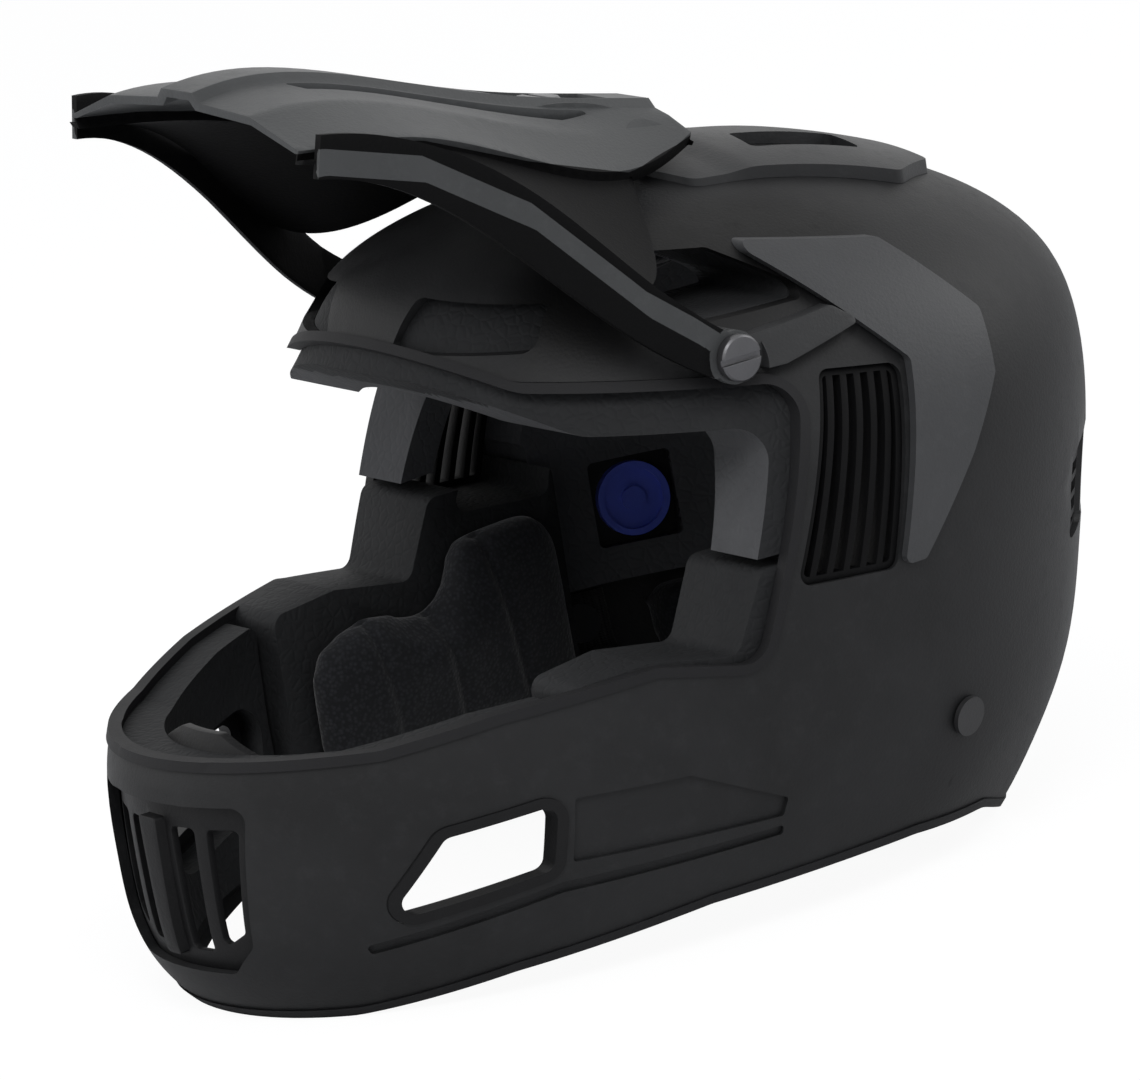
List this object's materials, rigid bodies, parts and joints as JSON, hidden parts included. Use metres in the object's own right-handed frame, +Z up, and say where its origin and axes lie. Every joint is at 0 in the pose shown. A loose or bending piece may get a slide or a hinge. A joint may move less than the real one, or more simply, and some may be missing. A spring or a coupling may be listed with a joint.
{
  "type": "downhill bike full face helmet",
  "caption": "Full face helmet for downhill riding, with a tilting visor, an open chin bar, side vents, liner pads and a double ring strap.",
  "frame": {"origin": "centre of the overall box at its underside, where the lower rim stands on a table", "axes": "+Z up, the face looks along -Y, the wearer's left side is +X"},
  "size_m": [0.2484, 0.3542, 0.2902],
  "materials": {
    "shell_black": "matte",
    "panel_grey": "satin",
    "visor_black": "satin",
    "hard_black": "matte",
    "grille_grey": "satin",
    "trim_rubber": "matte",
    "foam_grey": "matte",
    "pad_fabric": "soft",
    "strap_webbing": "woven",
    "damper_blue": "satin",
    "screw_metal": "satin",
    "ring_steel": "satin"
  },
  "bodies": {
    "helmet": {"crown_shell": "shell_black", "chin_shell": "shell_black", "rear_shell": "shell_black", "eye_port_trim": "trim_rubber", "neck_trim": "trim_rubber", "crown_liner": "foam_grey", "chin_liner": "foam_grey", "cheek_block_left": "foam_grey", "cheek_block_right": "foam_grey", "cheek_pad_left": "pad_fabric", "cheek_pad_right": "pad_fabric", "pad_snaps": "hard_black", "brow_pad": "pad_fabric", "crown_pad": "pad_fabric", "side_pad_left": "pad_fabric", "side_pad_right": "pad_fabric", "rear_pad": "pad_fabric", "neck_roll": "pad_fabric", "crown_fairing": "panel_grey", "side_panel_left": "panel_grey", "side_panel_right": "panel_grey", "visor_saddle": "hard_black", "visor_nuts": "screw_metal", "visor_mount_left": "panel_grey", "visor_mount_right": "panel_grey", "mouth_grille": "hard_black", "window_frame_left": "panel_grey", "window_frame_right": "panel_grey", "side_vent_grille_left": "grille_grey", "side_vent_grille_right": "grille_grey", "rear_vent_grilles": "grille_grey", "crown_vent_grilles": "hard_black", "breath_guard": "hard_black", "damper_seats": "hard_black", "damper_discs": "damper_blue", "strap_anchor_left": "screw_metal", "strap_anchor_right": "screw_metal", "chin_strap_left": "strap_webbing", "chin_strap_right": "strap_webbing"},
    "visor": {"visor": "visor_black"},
    "screw_left": {"visor_screw_left": "screw_metal"},
    "screw_right": {"visor_screw_right": "screw_metal"},
    "screw_centre": {"visor_screw_centre": "screw_metal"},
    "ring_inner": {"d_ring_inner": "ring_steel"},
    "ring_outer": {"d_ring_outer": "ring_steel"}
  },
  "joints": [
    {"name": "visor_tilt", "type": "hinge", "parent": "helmet", "child": "visor", "pos_m": [0, -0.003, 0.1845], "axis": [1, 0, 0], "range_deg": [-5, 8]},
    {"name": "visor_screw_left_turn", "type": "hinge", "parent": "helmet", "child": "screw_left", "pos_m": [0.1, -0.003, 0.1845], "axis": [1, 0, 0], "continuous": true},
    {"name": "visor_screw_right_turn", "type": "hinge", "parent": "helmet", "child": "screw_right", "pos_m": [-0.1, -0.003, 0.1845], "axis": [-1, 0, 0], "continuous": true},
    {"name": "visor_screw_centre_turn", "type": "hinge", "parent": "helmet", "child": "screw_centre", "pos_m": [0, -0.003, 0.1845], "axis": [0, 0.1564, 0.9877], "continuous": true},
    {"name": "d_ring_inner_swing", "type": "hinge", "parent": "helmet", "child": "ring_inner", "pos_m": [-0.08252, 0.05627, 0.034], "axis": [-0.2157, -0.9765, 0], "range_deg": [0, 80]},
    {"name": "d_ring_outer_swing", "type": "hinge", "parent": "helmet", "child": "ring_outer", "pos_m": [-0.08623, 0.05709, 0.034], "axis": [-0.2157, -0.9765, 0], "range_deg": [-10, 0]}
  ]
}
